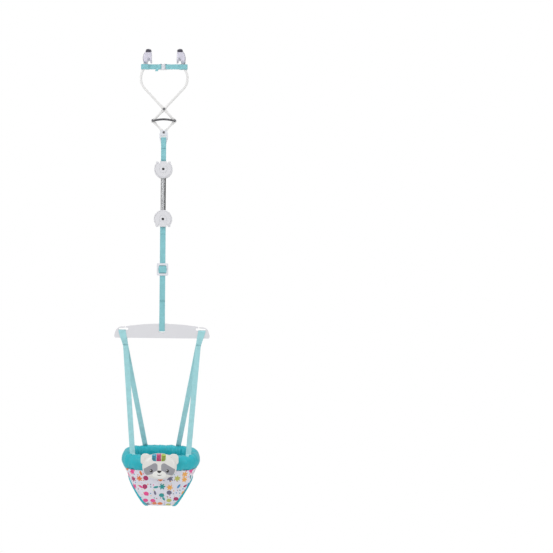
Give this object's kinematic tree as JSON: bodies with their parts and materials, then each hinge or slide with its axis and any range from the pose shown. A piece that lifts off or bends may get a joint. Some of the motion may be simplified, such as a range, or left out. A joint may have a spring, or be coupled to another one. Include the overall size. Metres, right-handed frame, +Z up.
{
  "type": "baby doorway jumper",
  "caption": "Spring-loaded scissor clamp for a door frame carrying a coil spring, an adjustable strap, a spreader bar and a padded bucket seat with a light-up toy.",
  "frame": {"origin": "middle of the gap that the clamp's two jaws grip, level with the lower edge of their grip faces", "axes": "+Z up, +X to the right as the seat's toy is faced, -Y towards the viewer in front of the toy"},
  "size_m": [0.3822, 0.3075, 1.8214],
  "materials": {
    "coated_steel": "white dipped coating, satin",
    "white_plastic": "moulded, satin",
    "housing_plastic": "moulded, semi-gloss",
    "boot_vinyl": "soft clear vinyl with a lavender tint",
    "black_rubber": "matt moulded rubber",
    "zinc_steel": "zinc plated",
    "polished_steel": "bright polished spring wire",
    "dark_steel": "oiled dark spring wire",
    "black_screw": "blackened steel",
    "turquoise_webbing": "woven polyester webbing",
    "pale_turquoise_webbing": "woven polyester webbing",
    "white_webbing": "woven polyester webbing",
    "teal_fabric": "plain woven cotton blend",
    "print_fabric": "printed woven cotton blend",
    "toy_plastic": "moulded, satin",
    "blue_lens": "tinted clear plastic",
    "pink_lens": "tinted clear plastic",
    "lime_lens": "tinted clear plastic",
    "circuit_board": "glass-epoxy board",
    "dark_plastic": "moulded, matt"
  },
  "bodies": {
    "clamp_frame": {"pivot_rivet": "zinc_steel", "clamp_spring": "dark_steel", "buckle_socket": "white_plastic"},
    "buckle_plug": {"buckle_plug": "white_plastic"},
    "left_arm": {"clamp_arm_left": "coated_steel", "jaw_boot_left": "boot_vinyl", "jaw_cap_left": "black_rubber", "safety_strap_left": "turquoise_webbing", "link_rivet_right": "zinc_steel"},
    "right_arm": {"clamp_arm_right": "coated_steel", "jaw_boot_right": "boot_vinyl", "jaw_cap_right": "black_rubber", "safety_strap_right": "turquoise_webbing", "link_rivet_left": "zinc_steel"},
    "right_link": {"clamp_link_right": "coated_steel"},
    "left_link": {"clamp_link_left": "coated_steel"},
    "bracket_pin": {"bracket_rivet": "zinc_steel"},
    "bracket": {"bracket": "white_plastic"},
    "upper_unit": {"upper_strap": "turquoise_webbing", "upper_housing_front": "housing_plastic", "upper_housing_back": "housing_plastic", "upper_housing_screw": "black_screw", "upper_strap_pin": "zinc_steel", "upper_spring_anchor": "zinc_steel", "main_spring": "polished_steel", "safety_cord": "white_webbing"},
    "lower_unit": {"lower_housing_front": "housing_plastic", "lower_housing_back": "housing_plastic", "lower_housing_screw": "black_screw", "lower_strap_pin": "zinc_steel", "lower_spring_anchor": "zinc_steel", "adjuster_strap_upper": "turquoise_webbing"},
    "slider": {"adjuster_slider": "white_plastic"},
    "strap_loop": {"adjuster_strap_lower": "turquoise_webbing"},
    "spreader": {"spreader": "housing_plastic"},
    "seat": {"seat_ring": "teal_fabric", "seat_shell": "print_fabric", "seat_strap_left": "pale_turquoise_webbing", "seat_strap_right": "pale_turquoise_webbing", "leg_binding_left": "teal_fabric", "leg_binding_right": "teal_fabric", "toy_strap": "teal_fabric"},
    "toy": {"toy_front_shell": "toy_plastic", "toy_back_shell": "toy_plastic", "toy_lens_left": "blue_lens", "toy_lens_middle": "pink_lens", "toy_lens_right": "lime_lens", "toy_light_board": "circuit_board", "toy_button_cells": "zinc_steel", "toy_battery_door": "toy_plastic", "toy_speaker": "dark_plastic", "toy_screw_1": "zinc_steel", "toy_screw_2": "zinc_steel", "toy_screw_3": "zinc_steel", "toy_screw_4": "zinc_steel", "toy_battery_door_screw": "zinc_steel"},
    "toy_switch": {"toy_switch_knob": "dark_plastic"}
  },
  "joints": [
    {"name": "clamp_open", "type": "hinge", "parent": "clamp_frame", "child": "left_arm", "pos_m": [0, 0, -0.212], "axis": [0, -1, 0], "range_deg": [0, 9], "stiffness_Nm_per_rad": 8, "springref_deg": -20.05, "deforming": ["clamp_spring", "safety_strap_left", "safety_strap_right"]},
    {"name": "right_arm_open", "type": "hinge", "parent": "clamp_frame", "child": "right_arm", "pos_m": [0, 0, -0.212], "axis": [0, 1, 0], "range_deg": [0, 9]},
    {"name": "right_link_fold", "type": "hinge", "parent": "left_arm", "child": "right_link", "pos_m": [0.044, 0, -0.259], "axis": [0, 1, 0], "range_deg": [0, 18]},
    {"name": "left_link_fold", "type": "hinge", "parent": "right_arm", "child": "left_link", "pos_m": [-0.044, 0, -0.259], "axis": [0, -1, 0], "range_deg": [0, 18]},
    {"name": "bracket_rise", "type": "slide", "parent": "clamp_frame", "child": "bracket_pin", "axis": [0, 0, 1], "range_m": [0, 0.015]},
    {"name": "bracket_sway", "type": "hinge", "parent": "bracket_pin", "child": "bracket", "pos_m": [0, 0, -0.306], "axis": [0, 1, 0], "range_deg": [-20, 20]},
    {"name": "strap_swing", "type": "hinge", "parent": "bracket", "child": "upper_unit", "pos_m": [0, 0, -0.3264], "axis": [1, 0, 0], "range_deg": [-35, 35], "deforming": ["upper_strap"]},
    {"name": "bounce", "type": "slide", "parent": "upper_unit", "child": "lower_unit", "axis": [0, 0, -1], "range_m": [0, 0.12], "stiffness_N_per_m": 900, "springref_m": -0.067, "deforming": ["main_spring", "safety_cord"]},
    {"name": "height_adjust", "type": "slide", "parent": "lower_unit", "child": "slider", "axis": [0, 0, -1], "range_m": [-0.09, 0.3], "deforming": ["adjuster_strap_upper", "adjuster_strap_lower"]},
    {"name": "strap_loop_run", "type": "slide", "parent": "slider", "child": "strap_loop", "axis": [0, 0, -1], "range_m": [-0.15, 0.045], "deforming": ["adjuster_strap_upper", "adjuster_strap_lower"]},
    {"name": "spreader_tilt", "type": "hinge", "parent": "strap_loop", "child": "spreader", "pos_m": [0, 0, -1.1005], "axis": [0, 1, 0], "range_deg": [-12, 12], "deforming": ["adjuster_strap_lower"]},
    {"name": "seat_swing", "type": "hinge", "parent": "spreader", "child": "seat", "pos_m": [0, 0, -1.099], "axis": [1, 0, 0], "range_deg": [-30, 30], "deforming": ["seat_strap_left", "seat_strap_right"]},
    {"name": "toy_flip", "type": "hinge", "parent": "seat", "child": "toy", "pos_m": [0, -0.13279, -1.60239], "axis": [-1, 0, 0], "range_deg": [0, 35]},
    {"name": "toy_switch_slide", "type": "slide", "parent": "toy", "child": "toy_switch", "axis": [0, 0.0698, 0.9976], "range_m": [-0.004, 0.004]},
    {"name": "buckle_release", "type": "slide", "parent": "clamp_frame", "child": "buckle_plug", "axis": [1, 0, 0], "range_m": [0, 0.02], "deforming": ["safety_strap_right"]}
  ],
  "couplings": [
    {"joint": "right_arm_open", "follows": "clamp_open", "ratio": 1},
    {"joint": "right_link_fold", "follows": "clamp_open", "ratio": 2},
    {"joint": "left_link_fold", "follows": "clamp_open", "ratio": 2},
    {"joint": "bracket_rise", "follows": "clamp_open", "m_per_rad": 0.0939},
    {"joint": "strap_loop_run", "follows": "height_adjust", "ratio": -0.5}
  ]
}
